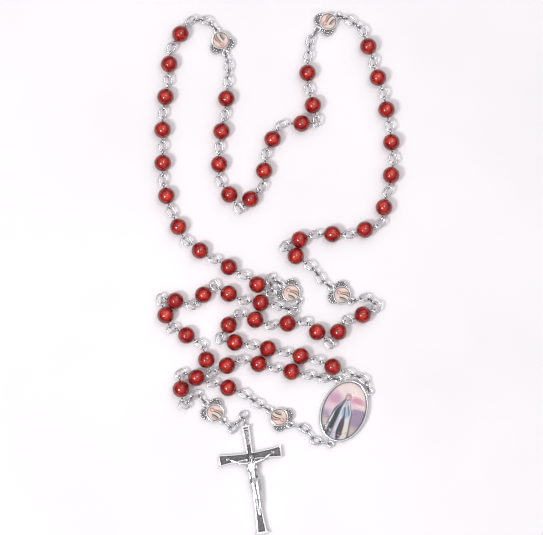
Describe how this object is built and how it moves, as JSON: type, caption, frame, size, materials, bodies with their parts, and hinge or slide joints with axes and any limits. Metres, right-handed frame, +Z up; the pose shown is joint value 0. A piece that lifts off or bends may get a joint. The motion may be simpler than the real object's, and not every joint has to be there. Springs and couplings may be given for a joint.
{
  "type": "rosary",
  "caption": "Rosary of round red stone beads on silver wire links, with heart medals, an oval picture centrepiece and a crucifix; every chain run articulates.",
  "frame": {"origin": "on the table under the middle of the oval centrepiece, on its flat back", "axes": "+Z up out of the table, +Y from the pendant towards the far end of the laid-out loop, +X to the right"},
  "size_m": [0.0897, 0.1908, 0.0062],
  "materials": {
    "red_stone": "polished",
    "silver_wire": "polished",
    "antique_silver": "antiqued",
    "printed_picture": "satin",
    "clear_dome": "polished"
  },
  "bodies": {
    "centrepiece": {"centrepiece_frame": "antique_silver", "centrepiece_picture": "printed_picture", "centrepiece_dome": "clear_dome"},
    "decade_1a": {"decade_1a_beads": "red_stone", "decade_1a_chain": "silver_wire"},
    "decade_1b": {"decade_1b_beads": "red_stone", "decade_1b_chain": "silver_wire"},
    "decade_1c": {"decade_1c_beads": "red_stone", "decade_1c_chain": "silver_wire"},
    "heart_a": {"heart_a_medal": "antique_silver", "heart_a_pictures": "printed_picture"},
    "decade_2a": {"decade_2a_beads": "red_stone", "decade_2a_chain": "silver_wire"},
    "decade_2b": {"decade_2b_beads": "red_stone", "decade_2b_chain": "silver_wire"},
    "decade_2c": {"decade_2c_beads": "red_stone", "decade_2c_chain": "silver_wire"},
    "heart_c": {"heart_c_medal": "antique_silver", "heart_c_pictures": "printed_picture"},
    "decade_3a": {"decade_3a_beads": "red_stone", "decade_3a_chain": "silver_wire"},
    "decade_3b": {"decade_3b_beads": "red_stone", "decade_3b_chain": "silver_wire"},
    "decade_5a": {"decade_5a_beads": "red_stone", "decade_5a_chain": "silver_wire"},
    "decade_5b": {"decade_5b_beads": "red_stone", "decade_5b_chain": "silver_wire"},
    "decade_5c": {"decade_5c_beads": "red_stone", "decade_5c_chain": "silver_wire"},
    "heart_b": {"heart_b_medal": "antique_silver", "heart_b_pictures": "printed_picture"},
    "decade_4a": {"decade_4a_beads": "red_stone", "decade_4a_chain": "silver_wire"},
    "decade_4b": {"decade_4b_beads": "red_stone", "decade_4b_chain": "silver_wire"},
    "decade_4c": {"decade_4c_beads": "red_stone", "decade_4c_chain": "silver_wire"},
    "heart_d": {"heart_d_medal": "antique_silver", "heart_d_pictures": "printed_picture"},
    "decade_3c": {"decade_3c_beads": "red_stone", "decade_3c_chain": "silver_wire"},
    "upper_chain": {"upper_chain": "silver_wire"},
    "pendant_heart_upper": {"pendant_heart_upper_medal": "antique_silver", "pendant_heart_upper_pictures": "printed_picture"},
    "middle_chain": {"middle_chain": "silver_wire"},
    "pendant_eye_pin_1": {"pendant_eye_pin_1": "silver_wire"},
    "pendant_bead_1": {"pendant_bead_1": "red_stone"},
    "pendant_link_1": {"pendant_link_1": "silver_wire"},
    "pendant_eye_pin_2": {"pendant_eye_pin_2": "silver_wire"},
    "pendant_bead_2": {"pendant_bead_2": "red_stone"},
    "pendant_link_2": {"pendant_link_2": "silver_wire"},
    "pendant_eye_pin_3": {"pendant_eye_pin_3": "silver_wire"},
    "pendant_bead_3": {"pendant_bead_3": "red_stone"},
    "lower_chain": {"lower_chain": "silver_wire"},
    "pendant_heart_lower": {"pendant_heart_lower_medal": "antique_silver", "pendant_heart_lower_pictures": "printed_picture"},
    "crucifix_chain": {"crucifix_chain": "silver_wire"},
    "jump_ring": {"jump_ring": "silver_wire"},
    "crucifix": {"crucifix_cross": "antique_silver", "crucifix_corpus": "antique_silver"}
  },
  "joints": [
    {"name": "decade_1a_lift", "type": "hinge", "parent": "centrepiece", "child": "decade_1a", "pos_m": [-0.00354, 0.01158, 0.0016], "axis": [0.0698, 0.9976, 0], "range_deg": [-60, 15]},
    {"name": "decade_1b_lift", "type": "hinge", "parent": "decade_1a", "child": "decade_1b", "pos_m": [-0.05095, 0.02256, 0.0031], "axis": [-0.9613, -0.2756, 0], "range_deg": [-60, 45]},
    {"name": "decade_1c_lift", "type": "hinge", "parent": "decade_1b", "child": "decade_1c", "pos_m": [-0.05709, 0.03898, 0.0031], "axis": [-0.225, -0.9744, 0], "range_deg": [-60, 45]},
    {"name": "heart_a_lift", "type": "hinge", "parent": "decade_1c", "child": "heart_a", "pos_m": [-0.01671, 0.03868, 0.0016], "axis": [-0.9205, 0.3907, 0], "range_deg": [-2, 52]},
    {"name": "decade_2a_lift", "type": "hinge", "parent": "heart_a", "child": "decade_2a", "pos_m": [-0.02397, 0.04691, 0.0016], "axis": [0.5446, 0.8387, 0], "range_deg": [-60, 6]},
    {"name": "decade_2b_lift", "type": "hinge", "parent": "decade_2a", "child": "decade_2b", "pos_m": [-0.06182, 0.07069, 0.0031], "axis": [-0.9063, -0.4226, 0], "range_deg": [-60, 45]},
    {"name": "decade_2c_lift", "type": "hinge", "parent": "decade_2b", "child": "decade_2c", "pos_m": [-0.06596, 0.10662, 0.0031], "axis": [1, 0, 0], "range_deg": [-60, 45]},
    {"name": "heart_c_lift", "type": "hinge", "parent": "decade_2c", "child": "heart_c", "pos_m": [-0.04731, 0.1405, 0.0016], "axis": [0.7071, 0.7071, 0], "range_deg": [-60, 45]},
    {"name": "decade_3a_lift", "type": "hinge", "parent": "heart_c", "child": "decade_3a", "pos_m": [-0.04276, 0.12955, 0.0016], "axis": [-0.9659, -0.2588, 0], "range_deg": [-60, 45]},
    {"name": "decade_3b_lift", "type": "hinge", "parent": "decade_3a", "child": "decade_3b", "pos_m": [-0.04526, 0.08566, 0.0031], "axis": [1, 0, 0], "range_deg": [-60, 60]},
    {"name": "decade_5a_lift", "type": "hinge", "parent": "centrepiece", "child": "decade_5a", "pos_m": [0.00877, 0.00838, 0.0016], "axis": [-0.9272, -0.3746, 0], "range_deg": [-60, 45]},
    {"name": "decade_5b_lift", "type": "hinge", "parent": "decade_5a", "child": "decade_5b", "pos_m": [-0.03158, 0.02337, 0.0031], "axis": [0.2079, 0.9781, 0], "range_deg": [-60, 45]},
    {"name": "decade_5c_lift", "type": "hinge", "parent": "decade_5b", "child": "decade_5c", "pos_m": [-0.02827, 0.03139, 0.0031], "axis": [0.3907, 0.9205, 0], "range_deg": [-60, 60]},
    {"name": "heart_b_lift", "type": "hinge", "parent": "decade_5c", "child": "heart_b", "pos_m": [0.00422, 0.04023, 0.0016], "axis": [-0.2588, 0.9659, 0], "range_deg": [-60, 60]},
    {"name": "decade_4a_lift", "type": "hinge", "parent": "heart_b", "child": "decade_4a", "pos_m": [-0.00581, 0.04583, 0.0016], "axis": [-0.6018, -0.7986, 0], "range_deg": [-60, 60]},
    {"name": "decade_4b_lift", "type": "hinge", "parent": "decade_4a", "child": "decade_4b", "pos_m": [0.01165, 0.06729, 0.0031], "axis": [0.342, -0.9397, 0], "range_deg": [-60, 60]},
    {"name": "decade_4c_lift", "type": "hinge", "parent": "decade_4b", "child": "decade_4c", "pos_m": [0.01715, 0.102, 0.0031], "axis": [-0.9962, -0.0872, 0], "range_deg": [-60, 60]},
    {"name": "heart_d_lift", "type": "hinge", "parent": "decade_4c", "child": "heart_d", "pos_m": [-0.00065, 0.14431, 0.0016], "axis": [0.342, 0.9397, 0], "range_deg": [-45, 60]},
    {"name": "decade_3c_lift", "type": "hinge", "parent": "heart_d", "child": "decade_3c", "pos_m": [-0.01028, 0.1385, 0.0016], "axis": [0.8192, -0.5736, 0], "range_deg": [-60, 60]},
    {"name": "upper_chain_lift", "type": "hinge", "parent": "centrepiece", "child": "upper_chain", "pos_m": [-0.0064, -0.01162, 0.0016], "axis": [0.2419, 0.9703, 0], "range_deg": [-60, 60]},
    {"name": "pendant_heart_upper_lift", "type": "hinge", "parent": "upper_chain", "child": "pendant_heart_upper", "pos_m": [-0.01801, -0.00531, 0.0016], "axis": [-0.1908, -0.9816, 0], "range_deg": [-60, 60]},
    {"name": "middle_chain_lift", "type": "hinge", "parent": "pendant_heart_upper", "child": "middle_chain", "pos_m": [-0.02808, 0.00097, 0.0016], "axis": [0.5, 0.866, 0], "range_deg": [-60, 60]},
    {"name": "pendant_eye_pin_1_lift", "type": "hinge", "parent": "middle_chain", "child": "pendant_eye_pin_1", "pos_m": [-0.03793, 0.00696, 0.0031], "axis": [-0.3256, -0.9455, 0], "range_deg": [-60, 60]},
    {"name": "pendant_bead_1_spin", "type": "hinge", "parent": "pendant_eye_pin_1", "child": "pendant_bead_1", "pos_m": [-0.04186, 0.00831, 0.0031], "axis": [-0.9455, 0.3256, 0], "continuous": true},
    {"name": "pendant_link_1_lift", "type": "hinge", "parent": "pendant_eye_pin_1", "child": "pendant_link_1", "pos_m": [-0.04578, 0.00967, 0.0031], "axis": [0.3256, 0.9455, 0], "range_deg": [-60, 60]},
    {"name": "pendant_eye_pin_2_lift", "type": "hinge", "parent": "pendant_link_1", "child": "pendant_eye_pin_2", "pos_m": [-0.04952, 0.01053, 0.0031], "axis": [-0.3584, -0.9336, 0], "range_deg": [-60, 60]},
    {"name": "pendant_bead_2_spin", "type": "hinge", "parent": "pendant_eye_pin_2", "child": "pendant_bead_2", "pos_m": [-0.0534, 0.01202, 0.0031], "axis": [-0.9336, 0.3584, 0], "continuous": true},
    {"name": "pendant_link_2_lift", "type": "hinge", "parent": "pendant_eye_pin_2", "child": "pendant_link_2", "pos_m": [-0.05727, 0.01351, 0.0031], "axis": [0.3584, 0.9336, 0], "range_deg": [-60, 60]},
    {"name": "pendant_eye_pin_3_lift", "type": "hinge", "parent": "pendant_link_2", "child": "pendant_eye_pin_3", "pos_m": [-0.05946, 0.01205, 0.0031], "axis": [0.9925, 0.1219, 0], "range_deg": [-60, 60]},
    {"name": "pendant_bead_3_spin", "type": "hinge", "parent": "pendant_eye_pin_3", "child": "pendant_bead_3", "pos_m": [-0.05896, 0.00793, 0.0031], "axis": [0.1219, -0.9925, 0], "continuous": true},
    {"name": "lower_chain_lift", "type": "hinge", "parent": "pendant_eye_pin_3", "child": "lower_chain", "pos_m": [-0.05845, 0.00381, 0.0031], "axis": [-0.9925, -0.1219, 0], "range_deg": [-60, 60]},
    {"name": "pendant_heart_lower_lift", "type": "hinge", "parent": "lower_chain", "child": "pendant_heart_lower", "pos_m": [-0.05113, 0.00401, 0.0016], "axis": [0.766, 0.6428, 0], "range_deg": [-60, 60]},
    {"name": "crucifix_chain_lift", "type": "hinge", "parent": "pendant_heart_lower", "child": "crucifix_chain", "pos_m": [-0.04269, -0.0045, 0.0016], "axis": [-0.6691, -0.7431, 0], "range_deg": [-60, 60]},
    {"name": "jump_ring_lift", "type": "hinge", "parent": "crucifix_chain", "child": "jump_ring", "pos_m": [-0.03765, -0.00313, 0.0016], "axis": [-0.7314, 0.682, 0], "range_deg": [-60, 60]},
    {"name": "crucifix_yaw", "type": "hinge", "parent": "jump_ring", "child": "crucifix", "pos_m": [-0.03622, -0.00159, 0.0016], "axis": [0, 0, 1], "range_deg": [-7, 20]}
  ]
}
